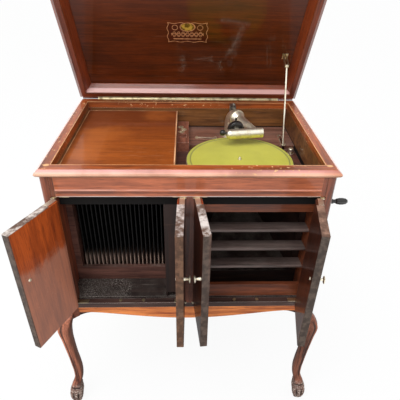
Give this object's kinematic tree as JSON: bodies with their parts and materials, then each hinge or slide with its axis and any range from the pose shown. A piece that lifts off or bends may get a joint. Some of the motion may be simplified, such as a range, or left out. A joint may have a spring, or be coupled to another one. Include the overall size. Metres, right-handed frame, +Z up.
{
  "type": "gramophone cabinet",
  "caption": "Floor-standing mahogany gramophone cabinet on cabriole legs, with hinged lid, turntable, swinging tonearm, record rack, louvred horn and small doors.",
  "frame": {"origin": "on the floor, under the middle of the object's box as it stands open", "axes": "+X to the right seen from the front, -Y towards the front where the doors are, +Z up"},
  "size_m": [0.839, 0.7046, 1.3505],
  "materials": {
    "mahogany": "worn glossy varnish, red-brown ribbon figure",
    "mahogany_dark": "worn varnish, dark",
    "veneer_orange": "glossy varnish, orange-brown veneer",
    "inner_wood": "dull stain, dusty",
    "rack_wood": "dull stain",
    "back_board": "bare board, matt",
    "felt": "worn felt, yellow-green",
    "nickel": "worn nickel plate, warm tint",
    "brass": "dull brass",
    "black_paint": "black enamel",
    "cast_iron": "dark grey paint on cast iron",
    "black_grip": "polished black composition"
  },
  "bodies": {
    "cabinet": {"corner_posts": "mahogany", "legs": "mahogany", "knee_blocks": "mahogany_dark", "side_panels": "mahogany", "back_panel": "back_board", "front_frieze": "mahogany", "front_apron": "veneer_orange", "bottom_rail": "mahogany", "centre_stile": "mahogany", "floor_board": "inner_wood", "partition": "inner_wood", "filler_board": "inner_wood", "well_linings": "mahogany_dark", "rim_moulding": "mahogany", "motor_board": "mahogany_dark", "rear_shelf": "mahogany_dark", "cover_supports": "mahogany_dark", "cover_panel": "mahogany", "cup_block": "mahogany_dark", "needle_cups": "nickel", "rack_frame": "rack_wood", "record_dividers": "rack_wood", "louvre_frame": "rack_wood", "louvre_slats": "inner_wood", "horn_boards": "rack_wood", "horn_elbow": "cast_iron", "door_plates": "brass", "case_hinge_leaf": "brass", "board_fittings": "nickel", "arm_base": "nickel", "arm_bracket": "black_paint", "motor_frame": "cast_iron"},
    "lid": {"lid_rails": "mahogany", "lid_cove": "veneer_orange", "lid_panel": "mahogany_dark", "lid_hinge_leaf": "brass", "stay_bracket": "nickel"},
    "stay": {"stay_rod": "nickel"},
    "left_outer_door": {"door_1": "mahogany", "door_1_fittings": "nickel"},
    "left_inner_door": {"door_2": "mahogany", "door_2_fittings": "nickel"},
    "right_inner_door": {"door_3": "mahogany", "door_3_fittings": "nickel"},
    "right_outer_door": {"door_4": "mahogany", "door_4_fittings": "nickel"},
    "turntable": {"platter": "nickel", "felt": "felt", "spindle": "nickel"},
    "barrel": {"spring_barrel": "brass"},
    "arbor": {"winding_arbor": "nickel"},
    "governor": {"governor": "brass"},
    "crank": {"crank": "nickel"},
    "grip": {"crank_grip": "black_grip"},
    "tonearm": {"tonearm": "nickel"},
    "throwback": {"gooseneck": "nickel", "lift_knob": "black_grip", "sound_box": "black_paint"},
    "brake": {"brake_lever": "nickel"},
    "speed": {"speed_knob": "nickel"}
  },
  "joints": [
    {"name": "lid_hinge", "type": "hinge", "parent": "cabinet", "child": "lid", "pos_m": [-0.00499, 0.3151, 0.88815], "axis": [-1, 0, 0], "range_deg": [-62.5, 0]},
    {"name": "stay_swing", "type": "hinge", "parent": "lid", "child": "stay", "pos_m": [0.29801, 0.2301, 1.02609], "axis": [-1, 0, 0], "range_deg": [0, 41.7]},
    {"name": "left_outer_door", "type": "hinge", "parent": "cabinet", "child": "left_outer_door", "pos_m": [-0.34049, -0.1904, 0.6255], "axis": [0, 0, -1], "range_deg": [-116, 9]},
    {"name": "left_inner_door", "type": "hinge", "parent": "cabinet", "child": "left_inner_door", "pos_m": [-0.01649, -0.1904, 0.6255], "axis": [0, 0, 1], "range_deg": [-88.7, 1.3]},
    {"name": "right_inner_door", "type": "hinge", "parent": "cabinet", "child": "right_inner_door", "pos_m": [0.00651, -0.1904, 0.6255], "axis": [0, 0, -1], "range_deg": [-84, 0]},
    {"name": "right_outer_door", "type": "hinge", "parent": "cabinet", "child": "right_outer_door", "pos_m": [0.33051, -0.1904, 0.6255], "axis": [0, 0, 1], "range_deg": [-80, 45]},
    {"name": "turntable_spin", "type": "hinge", "parent": "cabinet", "child": "turntable", "pos_m": [0.13851, -0.0149, 0.828], "axis": [0, 0, 1], "continuous": true},
    {"name": "barrel_spin", "type": "hinge", "parent": "cabinet", "child": "barrel", "pos_m": [0.20001, -0.0149, 0.759], "axis": [0, 0, 1], "continuous": true},
    {"name": "governor_spin", "type": "hinge", "parent": "cabinet", "child": "governor", "pos_m": [0.12951, 0.0103, 0.761], "axis": [1, 0, 0], "continuous": true},
    {"name": "crank_turn", "type": "hinge", "parent": "cabinet", "child": "crank", "pos_m": [0.36451, -0.0433, 0.74], "axis": [1, 0, 0], "continuous": true},
    {"name": "arbor_turn", "type": "hinge", "parent": "cabinet", "child": "arbor", "pos_m": [0.20001, -0.0149, 0.74], "axis": [0, 0, 1], "continuous": true},
    {"name": "grip_spin", "type": "hinge", "parent": "crank", "child": "grip", "pos_m": [0.39501, -0.14159, 0.76726], "axis": [1, 0, 0], "continuous": true},
    {"name": "tonearm_swing", "type": "hinge", "parent": "cabinet", "child": "tonearm", "pos_m": [0.13901, 0.2151, 0.871], "axis": [0, 0, 1], "range_deg": [-23.5, 16]},
    {"name": "sound_box_flip", "type": "hinge", "parent": "tonearm", "child": "throwback", "pos_m": [0.19523, 0.08579, 0.865], "axis": [0.989, 0.1478, 0], "range_deg": [0, 170]},
    {"name": "brake_swing", "type": "hinge", "parent": "cabinet", "child": "brake", "pos_m": [0.02101, 0.1897, 0.804], "axis": [0, 0, 1], "range_deg": [-10, 10]},
    {"name": "speed_turn", "type": "hinge", "parent": "cabinet", "child": "speed", "pos_m": [0.31501, 0.1041, 0.8], "axis": [0, 0, 1], "range_deg": [-150, 150]}
  ],
  "couplings": [
    {"joint": "stay_swing", "follows": "lid_hinge", "ratio": -0.6672},
    {"joint": "barrel_spin", "follows": "turntable_spin", "ratio": -0.24242},
    {"joint": "governor_spin", "follows": "turntable_spin", "ratio": 40},
    {"joint": "arbor_turn", "follows": "crank_turn", "ratio": 0.027778}
  ]
}
